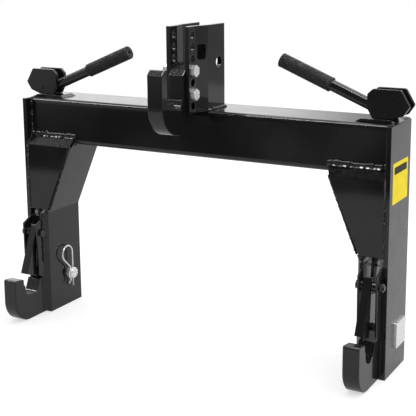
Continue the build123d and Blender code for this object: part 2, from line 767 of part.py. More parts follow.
with BuildPart() as mast_nuts:
    with BuildSketch(leg_plane(-bolt_face)) as mast_nut_hex:
        for level in bolt_levels:
            with Locations((-mast_hole_y, level)):
                RegularPolygon(mast_bolt_af / 2, 6, major_radius=False, rotation=30)
                Circle(mast_bolt_d / 2 + slip, mode=Mode.SUBTRACT)
    extrude(amount=-mast_nut_t)
mast_nuts.part.label = "mast_nuts"

# The left side is the right side's mirror image
with BuildPart() as left_beam_cap:
    mirror(right_beam_cap.part, about=Plane.YZ)
left_beam_cap.part.label = "left_beam_cap"

with BuildPart() as left_outer_plate:
    mirror(right_outer_plate.part, about=Plane.YZ)
left_outer_plate.part.label = "left_outer_plate"

with BuildPart() as left_inner_plate:
    mirror(right_inner_plate.part, about=Plane.YZ)
left_inner_plate.part.label = "left_inner_plate"

with BuildPart() as left_cover_plate:
    mirror(right_cover_plate.part, about=Plane.YZ)
left_cover_plate.part.label = "left_cover_plate"

with BuildPart() as left_lower_hook:
    mirror(right_lower_hook.part, about=Plane.YZ)
left_lower_hook.part.label = "left_lower_hook"

with BuildPart() as left_cheek_outer:
    mirror(right_cheek_outer.part, about=Plane.YZ)
left_cheek_outer.part.label = "left_cheek_outer"

with BuildPart() as left_cheek_inner:
    mirror(right_cheek_inner.part, about=Plane.YZ)
left_cheek_inner.part.label = "left_cheek_inner"

with BuildPart() as left_latch:
    mirror(right_latch.part, about=Plane.YZ)
left_latch.part.label = "left_latch"

with BuildPart() as left_latch_bolt:
    mirror(right_latch_bolt.part, about=Plane.YZ)
left_latch_bolt.part.label = "left_latch_bolt"

with BuildPart() as left_latch_nut:
    mirror(right_latch_nut.part, about=Plane.YZ)
left_latch_nut.part.label = "left_latch_nut"

with BuildPart() as left_latch_spacers:
    mirror(right_latch_spacers.part, about=Plane.YZ)
left_latch_spacers.part.label = "left_latch_spacers"

with BuildPart() as left_latch_pin:
    mirror(right_latch_pin.part, about=Plane.YZ)
left_latch_pin.part.label = "left_latch_pin"

with BuildPart() as left_pull_rod:
    mirror(right_pull_rod.part, about=Plane.YZ)
left_pull_rod.part.label = "left_pull_rod"

with BuildPart() as left_rod_link:
    mirror(right_rod_link.part, about=Plane.YZ)
left_rod_link.part.label = "left_rod_link"

with BuildPart() as left_link_bolt:
    mirror(right_link_bolt.part, about=Plane.YZ)
left_link_bolt.part.label = "left_link_bolt"

with BuildPart() as left_link_nut:
    mirror(right_link_nut.part, about=Plane.YZ)
left_link_nut.part.label = "left_link_nut"

with BuildPart() as left_lever_base:
    mirror(right_lever_base.part, about=Plane.YZ)
left_lever_base.part.label = "left_lever_base"

with BuildPart() as left_cam_front:
    mirror(right_cam_front.part, about=Plane.YZ)
left_cam_front.part.label = "left_cam_front"

with BuildPart() as left_cam_rear:
    mirror(right_cam_rear.part, about=Plane.YZ)
left_cam_rear.part.label = "left_cam_rear"

with BuildPart() as left_lever_pin:
    mirror(right_lever_pin.part, about=Plane.YZ)
left_lever_pin.part.label = "left_lever_pin"

with BuildPart() as left_lever_bar:
    mirror(right_lever_bar.part, about=Plane.YZ)
left_lever_bar.part.label = "left_lever_bar"

with BuildPart() as left_grip:
    mirror(right_grip.part, about=Plane.YZ)
left_grip.part.label = "left_grip"

with BuildPart() as left_link_pin:
    mirror(right_link_pin.part, about=Plane.YZ)
left_link_pin.part.label = "left_link_pin"

with BuildPart() as left_r_clip:
    mirror(right_r_clip.part, about=Plane.YZ)
left_r_clip.part.label = "left_r_clip"

with BuildPart() as left_spring:
    mirror(right_spring.part, about=Plane.YZ)
left_spring.part.label = "left_spring"

with BuildPart() as left_mast_plate:
    mirror(right_mast_plate.part, about=Plane.YZ)
left_mast_plate.part.label = "left_mast_plate"

export_step(top_beam.part, "parts/top_beam.step")
export_step(right_beam_cap.part, "parts/right_beam_cap.step")
export_step(right_outer_plate.part, "parts/right_outer_plate.step")
export_step(right_inner_plate.part, "parts/right_inner_plate.step")
export_step(right_cover_plate.part, "parts/right_cover_plate.step")
export_step(right_lower_hook.part, "parts/right_lower_hook.step")
export_step(right_cheek_outer.part, "parts/right_cheek_outer.step")
export_step(right_cheek_inner.part, "parts/right_cheek_inner.step")
export_step(right_latch.part, "parts/right_latch.step")
export_step(right_latch_bolt.part, "parts/right_latch_bolt.step")
export_step(right_latch_nut.part, "parts/right_latch_nut.step")
export_step(right_latch_spacers.part, "parts/right_latch_spacers.step")
export_step(right_latch_pin.part, "parts/right_latch_pin.step")
export_step(right_pull_rod.part, "parts/right_pull_rod.step")
export_step(right_rod_link.part, "parts/right_rod_link.step")
export_step(right_link_bolt.part, "parts/right_link_bolt.step")
export_step(right_link_nut.part, "parts/right_link_nut.step")
export_step(right_lever_base.part, "parts/right_lever_base.step")
export_step(right_cam_front.part, "parts/right_cam_front.step")
export_step(right_cam_rear.part, "parts/right_cam_rear.step")
export_step(right_lever_pin.part, "parts/right_lever_pin.step")
export_step(right_lever_bar.part, "parts/right_lever_bar.step")
export_step(right_grip.part, "parts/right_grip.step")
export_step(right_link_pin.part, "parts/right_link_pin.step")
export_step(right_r_clip.part, "parts/right_r_clip.step")
export_step(right_spring.part, "parts/right_spring.step")
export_step(right_mast_plate.part, "parts/right_mast_plate.step")
export_step(left_beam_cap.part, "parts/left_beam_cap.step")
export_step(left_outer_plate.part, "parts/left_outer_plate.step")
export_step(left_inner_plate.part, "parts/left_inner_plate.step")
export_step(left_cover_plate.part, "parts/left_cover_plate.step")
export_step(left_lower_hook.part, "parts/left_lower_hook.step")
export_step(left_cheek_outer.part, "parts/left_cheek_outer.step")
export_step(left_cheek_inner.part, "parts/left_cheek_inner.step")
export_step(left_latch.part, "parts/left_latch.step")
export_step(left_latch_bolt.part, "parts/left_latch_bolt.step")
export_step(left_latch_nut.part, "parts/left_latch_nut.step")
export_step(left_latch_spacers.part, "parts/left_latch_spacers.step")
export_step(left_latch_pin.part, "parts/left_latch_pin.step")
export_step(left_pull_rod.part, "parts/left_pull_rod.step")
export_step(left_rod_link.part, "parts/left_rod_link.step")
export_step(left_link_bolt.part, "parts/left_link_bolt.step")
export_step(left_link_nut.part, "parts/left_link_nut.step")
export_step(left_lever_base.part, "parts/left_lever_base.step")
export_step(left_cam_front.part, "parts/left_cam_front.step")
export_step(left_cam_rear.part, "parts/left_cam_rear.step")
export_step(left_lever_pin.part, "parts/left_lever_pin.step")
export_step(left_lever_bar.part, "parts/left_lever_bar.step")
export_step(left_grip.part, "parts/left_grip.step")
export_step(left_link_pin.part, "parts/left_link_pin.step")
export_step(left_r_clip.part, "parts/left_r_clip.step")
export_step(left_spring.part, "parts/left_spring.step")
export_step(left_mast_plate.part, "parts/left_mast_plate.step")
export_step(top_hook.part, "parts/top_hook.step")
export_step(mast_bolts.part, "parts/mast_bolts.step")
export_step(mast_nuts.part, "parts/mast_nuts.step")
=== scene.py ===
# %% [markdown]
# # A quick hitch frame, finished in Blender
# The steel frame comes in already modelled, to size, with its levers, rods and latches on their
# joints. This lesson dresses it: black enamel, bright zinc, rubber grips, weld beads and a decal.

# %% Load the frame
import json
import math

import bmesh
import bpy
from mathutils import Matrix, Vector


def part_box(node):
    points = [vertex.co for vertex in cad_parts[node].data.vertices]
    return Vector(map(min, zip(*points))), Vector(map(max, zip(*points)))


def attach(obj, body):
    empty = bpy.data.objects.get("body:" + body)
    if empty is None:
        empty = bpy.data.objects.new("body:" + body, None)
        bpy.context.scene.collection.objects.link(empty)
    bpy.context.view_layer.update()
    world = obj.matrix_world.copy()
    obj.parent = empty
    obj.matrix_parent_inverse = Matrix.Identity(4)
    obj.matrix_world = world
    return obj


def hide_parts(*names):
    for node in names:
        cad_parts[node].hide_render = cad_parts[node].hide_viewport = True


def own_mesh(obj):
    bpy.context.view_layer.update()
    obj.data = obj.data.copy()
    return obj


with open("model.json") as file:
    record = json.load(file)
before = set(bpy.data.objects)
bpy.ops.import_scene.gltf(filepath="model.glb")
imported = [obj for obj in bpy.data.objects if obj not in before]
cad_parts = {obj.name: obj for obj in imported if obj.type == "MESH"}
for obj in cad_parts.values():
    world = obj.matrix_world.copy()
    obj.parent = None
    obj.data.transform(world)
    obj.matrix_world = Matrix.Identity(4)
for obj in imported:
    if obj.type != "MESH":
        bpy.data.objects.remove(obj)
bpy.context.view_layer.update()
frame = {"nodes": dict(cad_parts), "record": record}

# %% [markdown]
# ## Small helpers
# Objects and nodes are made the same way all through the lesson. `placed` puts a new object in
# the scene. `node` adds a node to a tree of any kind, sets its options, and then gives each named
# input a value or a link, whichever it is handed.

# %% Helpers
MM = 0.001
scene = bpy.context.scene


def placed(name, data):
    thing = bpy.data.objects.new(name, data)
    scene.collection.objects.link(thing)
    return thing


def give(tree, added, inputs):
    for socket, value in inputs.items():
        if isinstance(value, bpy.types.NodeSocket):
            tree.links.new(value, added.inputs[socket])
        else:
            added.inputs[socket].default_value = value


def node(tree, kind, inputs, **options):
    added = tree.nodes.new(kind)
    for option, value in options.items():
        setattr(added, option, value)
    give(tree, added, inputs)
    return added


def combine(tree, operation, first, second):
    return node(tree, "ShaderNodeMath", {0: first, 1: second}, operation=operation).outputs[0]


def product(tree, first, *others):
    for value in others:
        first = combine(tree, "MULTIPLY", first, value)
    return first


def mixed(tree, factor, first, second):
    return node(tree, "ShaderNodeMixShader", {0: factor, 1: first, 2: second}).outputs[0]


def empty_tree(owner):
    owner.use_nodes = True
    owner.node_tree.nodes.clear()
    return owner.node_tree


print("helpers ready, one millimetre is", MM)

# %% [markdown]
# ## The camera
# The photograph was taken from the implement's side, a little above the beam and to the right.
# Its vertical edges hardly lean together, so the lens was shifted down rather than tipped. The
# camera's place, turn, lens and shift below were fitted to the corners of the frame.

# %% Place the camera
CAMERA_AT = (0.86306, -1.46797, 0.68346)
CAMERA_YAW = 29.415
CAMERA_PITCH = -11.069
CAMERA_ROLL = -0.455
FOCAL_PIXELS = 992.2
FRAME_PIXELS = 416
SENSOR_MM = 36.0
LENS_AXIS = (208.0, 150.0)

camera_data = bpy.data.cameras.new("photo_camera")
camera_data.sensor_width = SENSOR_MM
camera_data.lens = FOCAL_PIXELS / FRAME_PIXELS * SENSOR_MM
camera_data.shift_x = (FRAME_PIXELS / 2 - LENS_AXIS[0]) / FRAME_PIXELS
camera_data.shift_y = (LENS_AXIS[1] - FRAME_PIXELS / 2) / FRAME_PIXELS
camera = placed("photo_camera", camera_data)
turn = Matrix.Rotation(math.radians(CAMERA_YAW), 4, "Z")
tip = Matrix.Rotation(math.radians(90 + CAMERA_PITCH), 4, "X")
lean = Matrix.Rotation(math.radians(CAMERA_ROLL), 4, "Z")
camera.matrix_world = Matrix.Translation(CAMERA_AT) @ turn @ tip @ lean
scene.camera = camera
print("lens", round(camera_data.lens, 2), "shift", round(camera_data.shift_y, 4))

# %% [markdown]
# ## The room in the gloss
# The frame stands in a white studio, and black enamel shows mostly what it reflects. So the world
# gives plain light to rough surfaces and white to the camera, and a shaped room to glossy rays
# alone: a bright wall behind the frame, a window on the left, a narrow lamp overhead that draws
# the thin bright lines along the edges, and faint patches in the dark room behind the camera.
# Each span below is where a fade starts and where it ends, on the x, y or z of the direction,
# or on the noise for the patches.

# %% World
ROOM_LIGHT, ROOM_BEHIND_CAMERA = 0.75, 0.015
BACK_WALL, LOW_BAND, LEFT_WINDOW, STRIP_LIGHT, CLUTTER_LIGHT = 1.2, 0.24, 0.45, 24.0, 0.40
WALL_LEFT, WALL_HIGH = (-0.30, -0.45), (0.20, 0.35)
WALL_FOOT, WALL_FRONT = (-0.06, 0.10), (-0.35, 0.30)
WINDOW_LEFT, WINDOW_FOOT = (-0.42, -0.62), (-0.16, -0.11)
STRIP_FRONT, STRIP_BACK, STRIP_HIGH = (-0.28, -0.25), (-0.18, -0.21), (0.45, 0.60)
CLUTTER_SCALE, CLUTTER_SEED, CLUTTER_DETAIL = 8.0, 5.5, 3.0
CLUTTER_SPAN, CLUTTER_FRONT = (0.46, 0.70), (-0.45, -0.65)


def background(tree, strength):
    inputs = {"Color": (1, 1, 1, 1), "Strength": strength}
    return node(tree, "ShaderNodeBackground", inputs).outputs[0]


def fade(tree, value, start, end):
    inputs = {"Value": value, "From Min": start, "From Max": end, "To Min": 0.0, "To Max": 1.0}
    ramp = node(tree, "ShaderNodeMapRange", inputs, interpolation_type="SMOOTHSTEP")
    return ramp.outputs["Result"]


def room_glow(tree):
    """How bright the room is in each direction that a glossy ray can take."""
    toward = node(tree, "ShaderNodeTexCoord", {}).outputs["Generated"]
    split = node(tree, "ShaderNodeSeparateXYZ", {0: toward})
    across, depth, height = split.outputs["X"], split.outputs["Y"], split.outputs["Z"]
    wall = combine(tree, "MAXIMUM", fade(tree, across, *WALL_LEFT), fade(tree, height, *WALL_HIGH))
    wall = product(tree, fade(tree, height, *WALL_FOOT), wall, BACK_WALL - LOW_BAND)
    wall = product(tree, combine(tree, "ADD", wall, LOW_BAND), fade(tree, depth, *WALL_FRONT))
    window = product(tree, fade(tree, across, *WINDOW_LEFT), fade(tree, height, *WINDOW_FOOT),
                     LEFT_WINDOW)
    strip = product(tree, fade(tree, depth, *STRIP_FRONT), fade(tree, depth, *STRIP_BACK),
                    fade(tree, height, *STRIP_HIGH), STRIP_LIGHT)
    inputs = {"Vector": toward, "W": CLUTTER_SEED, "Scale": CLUTTER_SCALE, "Detail": CLUTTER_DETAIL}
    noise = node(tree, "ShaderNodeTexNoise", inputs, noise_dimensions="4D")
    clutter = product(tree, fade(tree, noise.outputs["Fac"], *CLUTTER_SPAN), CLUTTER_LIGHT,
                      fade(tree, depth, *CLUTTER_FRONT))
    glow = combine(tree, "MAXIMUM", wall, window)
    for light in (ROOM_BEHIND_CAMERA, strip, clutter):
        glow = combine(tree, "ADD", glow, light)
    return glow


scene.view_settings.view_transform = "Standard"
world = bpy.data.worlds.new("studio")
scene.world = world
tree = empty_tree(world)
path = node(tree, "ShaderNodeLightPath", {})
reflected = background(tree, room_glow(tree))
lit = mixed(tree, path.outputs["Is Glossy Ray"], background(tree, ROOM_LIGHT), reflected)
seen = combine(tree, "MAXIMUM", path.outputs["Is Camera Ray"], path.outputs["Is Transmission Ray"])
node(tree, "ShaderNodeOutputWorld", {"Surface": mixed(tree, seen, lit, background(tree, 1.0))})
print("room light", ROOM_LIGHT, "behind the camera", ROOM_BEHIND_CAMERA)

# %% [markdown]
# ## Floor and lamps
# The floor is a white sheet that ends a little way in front of the frame. The enamel's front
# faces mirror the dark room past its end, which is why the beam looks almost black and the
# covers lower down, which mirror the sheet, look grey. The sheet gives off some light of its own
# to the camera, so that it looks white and still shows the soft shadows, and to glossy rays, so
# that what the enamel mirrors stays even.

# %% Floor sheet
FLOOR_FRONT, FLOOR_FRONT_SLANT, FLOOR_BACK, FLOOR_HALF_WIDTH = -1.22, 0.15, 3.2, 6.0
FLOOR_WHITE, CAMERA_LIFT = 0.66, 0.56
GLOSSY_WHITE, GLOSSY_LIFT = 0.34, 0.34


def paper(tree, white, lift):
    paint = node(tree, "ShaderNodeBsdfDiffuse", {"Color": (white, white, white, 1)})
    glow = node(tree, "ShaderNodeEmission", {"Strength": lift})
    return node(tree, "ShaderNodeAddShader", {0: paint.outputs[0], 1: glow.outputs[0]}).outputs[0]


def make_floor():
    mesh = bpy.data.meshes.new("studio_floor")
    w, slant = FLOOR_HALF_WIDTH, FLOOR_HALF_WIDTH * FLOOR_FRONT_SLANT
    mesh.from_pydata([(-w, FLOOR_FRONT + slant, 0), (w, FLOOR_FRONT - slant, 0),
                      (w, FLOOR_BACK, 0), (-w, FLOOR_BACK, 0)], [], [(0, 1, 2, 3)])
    sheet = placed("studio_floor", mesh)
    material = bpy.data.materials.new("floor_white")
    tree = empty_tree(material)
    path = node(tree, "ShaderNodeLightPath", {})
    shade = mixed(tree, path.outputs["Is Glossy Ray"], paper(tree, FLOOR_WHITE, 0.0),
                  paper(tree, GLOSSY_WHITE, GLOSSY_LIFT))
    shade = mixed(tree, path.outputs["Is Camera Ray"], shade, paper(tree, FLOOR_WHITE, CAMERA_LIFT))
    node(tree, "ShaderNodeOutputMaterial", {"Surface": shade})
    mesh.materials.append(material)


make_floor()
print("floor from", FLOOR_FRONT, "to", FLOOR_BACK)


# %% Soft lights
def soft_panel(name, place, aim, size, power):
    data = bpy.data.lights.new(name, "AREA")
    data.shape = "RECTANGLE"
    data.size, data.size_y = size
    data.energy = power
    facing = (Vector(aim) - Vector(place)).to_track_quat("-Z", "Y")
    placed(name, data).matrix_world = Matrix.Translation(place) @ facing.to_matrix().to_4x4()


LAMP_AIM = (0, 0, 0.3)
soft_panel("overhead", (0.2, 0.4, 2.2), LAMP_AIM, size=(2.4, 1.6), power=14)
soft_panel("right_side", (2.3, 0.3, 1.0), LAMP_AIM, size=(1.4, 1.6), power=12)
print("two soft panels")

# %% [markdown]
# ## Black enamel
# The weldment is sprayed and baked: a deep black under a clear, glossy skin. Up close the skin
# has a faint orange peel, a slow wave over the broad plates and a little dust. The gloss comes
# from the shader's coat, and every edge gets a small painted radius from the Bevel node.

# %% Shader parts
NOISE_FROM, NOISE_TO = 0.35, 0.65  # the part of a noise's range that counts


def grain(tree, scale, detail):
    where = node(tree, "ShaderNodeTexCoord", {}).outputs["Object"]
    inputs = {"Vector": where, "Scale": scale, "Detail": detail}
    return node(tree, "ShaderNodeTexNoise", inputs).outputs["Fac"]


def remap(tree, value, low, high):
    inputs = {"Value": value, "From Min": NOISE_FROM, "From Max": NOISE_TO,
              "To Min": low, "To Max": high}
    return node(tree, "ShaderNodeMapRange", inputs).outputs["Result"]


def tint(tree, factor, dark, light):
    ramp = node(tree, "ShaderNodeValToRGB", {"Fac": factor})
    stops = ramp.color_ramp.elements
    for stop, place, colour in zip(stops, (NOISE_FROM, NOISE_TO), (dark, light)):
        stop.position = place
        stop.color = (*colour, 1)
    return ramp.outputs["Color"]


def bump(tree, height, distance, normal=None):
    relief = node(tree, "ShaderNodeBump", {"Strength": 1.0, "Distance": distance, "Height": height})
    if normal is not None:
        give(tree, relief, {"Normal": normal})
    return relief.outputs["Normal"]


def soft_edges(tree, radius):
    return node(tree, "ShaderNodeBevel", {"Radius": radius}, samples=6).outputs["Normal"]


def shader(name):
    material = bpy.data.materials.new(name)
    tree = empty_tree(material)
    skin = node(tree, "ShaderNodeBsdfPrincipled", {})
    node(tree, "ShaderNodeOutputMaterial", {"Surface": skin.outputs["BSDF"]})
    return material, tree, skin


print("noise counts from", NOISE_FROM, "to", NOISE_TO)

# %% Enamels
DEEP_BLACK, DUSTY_BLACK = (0.0045, 0.0045, 0.0050), (0.0085, 0.0080, 0.0090)
SATIN_BLACK, SATIN_DUST = (0.0045, 0.0045, 0.005), (0.010, 0.0095, 0.0105)
DUST_SCALE, SCUFF_SCALE, WAVE_SCALE, PEEL_SCALE = 14, 35, 9, 420  # noise per metre


def enamel(name, dark, light, rough, coat_rough, peel, wave, edge):
    material, tree, skin = shader(name)
    slow = bump(tree, grain(tree, WAVE_SCALE, 1), wave, soft_edges(tree, edge))
    fine = bump(tree, grain(tree, PEEL_SCALE, 2), peel, slow)
    give(tree, skin, {
        "Base Color": tint(tree, grain(tree, DUST_SCALE, 3), dark, light),
        "Roughness": remap(tree, grain(tree, SCUFF_SCALE, 4), rough, rough + 0.10),
        "Specular IOR Level": 0.08, "Coat Weight": 1.0, "Coat Roughness": coat_rough,
        "Normal": fine, "Coat Normal": fine,
    })
    return material


black_enamel = enamel("black_enamel", DEEP_BLACK, DUSTY_BLACK, rough=0.30, coat_rough=0.06,
                      peel=0.02 * MM, wave=0.3 * MM, edge=1.6 * MM)
hook_enamel = enamel("hook_enamel", SATIN_BLACK, SATIN_DUST, rough=0.45, coat_rough=0.09,
                     peel=0.02 * MM, wave=0.4 * MM, edge=2.4 * MM)
lever_enamel = enamel("lever_enamel", SATIN_BLACK, SATIN_DUST, rough=0.40, coat_rough=0.09,
                      peel=0.03 * MM, wave=0.2 * MM, edge=1.8 * MM)
weld_enamel = enamel("weld_enamel", DEEP_BLACK, DUSTY_BLACK, rough=0.16, coat_rough=0.08,
                     peel=0.04 * MM, wave=0.3 * MM, edge=0.4 * MM)
print("enamels:", black_enamel.name, hook_enamel.name, lever_enamel.name, weld_enamel.name)

# %% [markdown]
# ## Bare metals and rubber
# The link pins and most of the bolts are zinc plated: bright, with a faint crystal pattern. The
# clips are drawn spring wire. The grips are soft rubber with a dull, slightly dusty skin.


# %% Zinc, wire and rubber
def zinc_plate(name, low, high, base):
    material, tree, skin = shader(name)
    where = node(tree, "ShaderNodeTexCoord", {}).outputs["Object"]
    cells = node(tree, "ShaderNodeTexVoronoi", {"Vector": where, "Scale": 260})
    lighter = tuple(min(1, c * 1.12) for c in base)
    give(tree, skin, {
        "Metallic": 0.72,
        "Base Color": tint(tree, cells.outputs["Distance"], base, lighter),
        "Roughness": remap(tree, grain(tree, 300, 2), low, high),
        "Normal": bump(tree, grain(tree, 700, 2), 0.02 * MM, soft_edges(tree, 0.6 * MM)),
    })
    return material


def rubber(name, clean, dusty):
    material, tree, skin = shader(name)
    give(tree, skin, {
        "Base Color": tint(tree, grain(tree, 180, 4), clean, dusty),
        "Roughness": remap(tree, grain(tree, 90, 2), 0.62, 0.80),
        "Specular IOR Level": 0.35, "Sheen Weight": 0.10, "Sheen Roughness": 0.5,
        "Normal": bump(tree, grain(tree, 900, 3), 0.12 * MM),
    })
    return material


zinc = zinc_plate("zinc_plate", 0.22, 0.36, (0.94, 0.94, 0.95))
bright_wire = zinc_plate("bright_wire", 0.32, 0.45, (0.93, 0.93, 0.94))
spring_steel = zinc_plate("spring_steel", 0.30, 0.45, (0.22, 0.22, 0.23))
grip_rubber = rubber("grip_rubber", (0.011, 0.011, 0.012), (0.024, 0.024, 0.025))
print("metals and rubber ready")

# %% [markdown]
# ## Finish for every piece of the frame
# Each piece of the loaded frame keeps its shape and gets the finish its record slot asks for. The
# levers, cheeks, latches and rods have a slightly duller coat than the plates, and the bolt, nut
# and spacers of each latch are painted over with them.

# %% Dress the frame
FINISH = {
    "black_paint": black_enamel,
    "hook_paint": hook_enamel,
    "zinc": zinc,
    "clip_steel": bright_wire,
    "spring_steel": spring_steel,
    "grip_rubber": grip_rubber,
}
LEVER_PIECES = ("cam_front", "cam_rear", "lever_bar", "lever_pin",
                "latch_bolt", "latch_nut", "latch_spacers")
SATIN_PIECES = ("cheek_outer", "cheek_inner", "latch", "rod_link", "pull_rod")
slot_of = {row["node"]: row["material_slot"] for row in frame["record"]["subparts"]}
for piece_name, slot in slot_of.items():
    finish = FINISH[slot]
    if piece_name.endswith(LEVER_PIECES):
        finish = lever_enamel
    elif piece_name.endswith(SATIN_PIECES):
        finish = hook_enamel
    for held in frame["nodes"][piece_name].material_slots:
        held.material = finish
print("finished", len(slot_of), "pieces")

# %% [markdown]
# ## Sizes taken from the frame
# New pieces sit on the frame, so their places come from the boxes of the loaded pieces and from
# the joints in the record. The left half mirrors the right half, so each path is written once for
# the right side and used for both.

# %% Places on the frame
leg_low, leg_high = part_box("right_outer_plate")
inner_low, inner_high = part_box("right_inner_plate")
beam_low, beam_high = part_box("top_beam")
cover_low, cover_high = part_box("right_cover_plate")
mast_low, mast_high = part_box("right_mast_plate")
cheek_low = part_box("right_cheek_inner")[0]
hook_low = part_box("right_lower_hook")[0]
PLATE = leg_high[0] - leg_low[0]
BEAM_FRONT, BEAM_UNDERSIDE = beam_low[1:]
BEAM_END, BEAM_TOP = beam_high[0], beam_high[2]
LEG_FRONT, LEG_BACK = leg_low[1], leg_high[1]
joint_of = {joint["name"]: joint for joint in frame["record"]["behaviour"]["joints"]}
print("beam top at", round(BEAM_TOP, 4), "underside at", round(BEAM_UNDERSIDE, 4))


# %% New pieces
def plain_mesh(name, verts, faces):
    mesh = bpy.data.meshes.new(name)
    mesh.from_pydata([tuple(v) for v in verts], [], faces)
    mesh.update()
    return mesh


def add_piece(name, mesh, material, body, smooth=True):
    mesh.materials.clear()
    mesh.materials.append(material)
    shape = bmesh.new()
    shape.from_mesh(mesh)
    bmesh.ops.remove_doubles(shape, verts=shape.verts, dist=0.001 * MM)
    bmesh.ops.recalc_face_normals(shape, faces=shape.faces)
    shape.to_mesh(mesh)
    shape.free()
    for face in mesh.polygons:
        face.use_smooth = smooth
    piece = placed(name, mesh)
    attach(piece, body)
    return piece


def both_sides(points):
    return [points, [(-x, y, z) for x, y, z in points]]


print("joints:", ", ".join(sorted(joint_of)))

# %% [markdown]
# ## Weld beads
# The plates are welded by hand, and the paint follows every ripple of the bead. A bead is a row of
# small puddles that overlap along the joint, so it is a natural case for Geometry Nodes: the tree
# walks along a path, sets down one flattened ball for each puddle with a little unevenness, and
# joins a thin core under them so that no gap shows. The same tree makes every bead on the frame.


# %% Running a Geometry Nodes tree
def new_inputs(tree, rows):
    for name, kind, value in rows:
        socket = tree.interface.new_socket(name, in_out="INPUT", socket_type="NodeSocket" + kind)
        if value is not None:
            socket.default_value = value
    return node(tree, "NodeGroupInput", {}).outputs


def finish_tree(tree, geometry, material):
    """The end of every tree here: realize, shade smooth, set the material, hand over."""
    real = node(tree, "GeometryNodeRealizeInstances", {0: geometry})
    smooth = node(tree, "GeometryNodeSetShadeSmooth", {0: real.outputs[0]})
    inputs = {"Geometry": smooth.outputs[0], "Material": material}
    painted = node(tree, "GeometryNodeSetMaterial", inputs)
    tree.interface.new_socket("Shape", in_out="OUTPUT", socket_type="NodeSocketGeometry")
    node(tree, "NodeGroupOutput", {"Shape": painted.outputs["Geometry"]})
    return tree


def grown(name, mesh, tree, values):
    """Run a Geometry Nodes tree on a mesh and return the plain mesh that it gives."""
    holder = placed(name + "_path", mesh)
    modifier = holder.modifiers.new("grow", "NODES")
    modifier.node_group = tree
    for item in tree.interface.items_tree:
        if item.item_type == "SOCKET" and item.in_out == "INPUT" and item.name in values:
            modifier[item.identifier] = values[item.name]
    bpy.context.view_layer.update()
    seen_now = holder.evaluated_get(bpy.context.evaluated_depsgraph_get())
    result = bpy.data.meshes.new_from_object(seen_now)
    holder.modifiers.clear()
    bpy.data.objects.remove(holder)
    result.name = name
    return result


print("each tree is run once and leaves a plain mesh")

# %% Weld bead tree
PUDDLE_FLAT, CORE_SHARE = 0.62, 0.78  # both as shares of the bead's radius


def weld_bead_tree():
    tree = bpy.data.node_groups.new("weld_bead", "GeometryNodeTree")
    start = new_inputs(tree, (
        ("Path", "Geometry", None), ("Puddle Gap", "Float", 2.6 * MM),
        ("Bead Radius", "Float", 3.2 * MM), ("Unevenness", "Float", 0.22),
        ("Seed", "Int", 1), ("Paint", "Material", None)))
    radius, uneven, seed = start["Bead Radius"], start["Unevenness"], start["Seed"]
    curve = node(tree, "GeometryNodeMeshToCurve", {"Mesh": start["Path"]}).outputs["Curve"]
    stops = node(tree, "GeometryNodeCurveToPoints",
                 {"Curve": curve, "Length": start["Puddle Gap"]}, mode="LENGTH")
    ball = node(tree, "GeometryNodeMeshUVSphere", {"Segments": 10, "Rings": 7, "Radius": radius})
    chance = node(tree, "FunctionNodeRandomValue",
                  {2: combine(tree, "SUBTRACT", 1.0, uneven), 3: combine(tree, "ADD", 1.0, uneven),
                   "Seed": seed}, data_type="FLOAT")
    flat = node(tree, "ShaderNodeVectorMath",
                {0: (1.0, 1.0, PUDDLE_FLAT), "Scale": chance.outputs[1]}, operation="SCALE")
    drift = node(tree, "FunctionNodeRandomValue",
                 {0: (-1.0, -1.0, -1.0), 1: (1.0, 1.0, 1.0), "Seed": seed}, data_type="FLOAT_VECTOR")
    offset = node(tree, "ShaderNodeVectorMath",
                  {0: drift.outputs[0], "Scale": product(tree, radius, uneven)}, operation="SCALE")
    scatter = node(tree, "GeometryNodeSetPosition",
                   {"Geometry": stops.outputs["Points"], "Offset": offset.outputs["Vector"]})
    puddles = node(tree, "GeometryNodeInstanceOnPoints",
                   {"Points": scatter.outputs["Geometry"], "Instance": ball.outputs["Mesh"],
                    "Rotation": stops.outputs["Rotation"], "Scale": flat.outputs["Vector"]})
    rim = node(tree, "GeometryNodeCurvePrimitiveCircle",
               {"Resolution": 10, "Radius": product(tree, radius, CORE_SHARE)})
    core = node(tree, "GeometryNodeCurveToMesh",
                {"Curve": curve, "Profile Curve": rim.outputs["Curve"], "Fill Caps": True})
    joined = node(tree, "GeometryNodeJoinGeometry", {0: puddles.outputs["Instances"]})
    give(tree, joined, {0: core.outputs["Mesh"]})
    return finish_tree(tree, joined.outputs[0], start["Paint"])


bead_tree = weld_bead_tree()
print("weld bead tree has", len(bead_tree.nodes), "nodes")

# %% Lay a bead
COVER_TOP, COVER_FOOT = cover_high[2], cover_low[2]
cover_top_path = [(cover_low[0] + 2 * MM, BEAM_FRONT, COVER_TOP),
                  (BEAM_END, BEAM_FRONT, COVER_TOP)]


def path_mesh(name, paths):
    verts, edges = [], []
    for path in paths:
        first = len(verts)
        verts += path
        edges += [(first + n, first + n + 1) for n in range(len(path) - 1)]
    mesh = bpy.data.meshes.new(name)
    mesh.from_pydata(verts, edges, [])
    return mesh


def bead(name, right_path, radius, gap, seed):
    """A bead along a path on the right side, and its mirror image on the left."""
    values = {"Bead Radius": radius, "Puddle Gap": gap, "Seed": seed, "Paint": weld_enamel}
    mesh = grown(name, path_mesh(name, both_sides(right_path)), bead_tree, values)
    piece = placed(name, mesh)
    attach(piece, "frame")
    print(name, len(mesh.polygons), "faces")


bead("cover_top_welds", cover_top_path, radius=5.0 * MM, gap=5.0 * MM, seed=3)

# %% [markdown]
# Two welds are flat rather than beaded: the toe that runs out on the top of each cover, whose
# slope catches the overhead lamp, and the seam that fills the step beside each lower hook. Both
# are ribbons with a slight wave along them.

# %% Weld ribbons
RIBBON_THICK, RIBBON_STEPS, RIBBON_WAVE = 2.0 * MM, 36, 0.25 * MM
TOE_TILT, TOE_WIDE = math.radians(43), 3.4 * MM


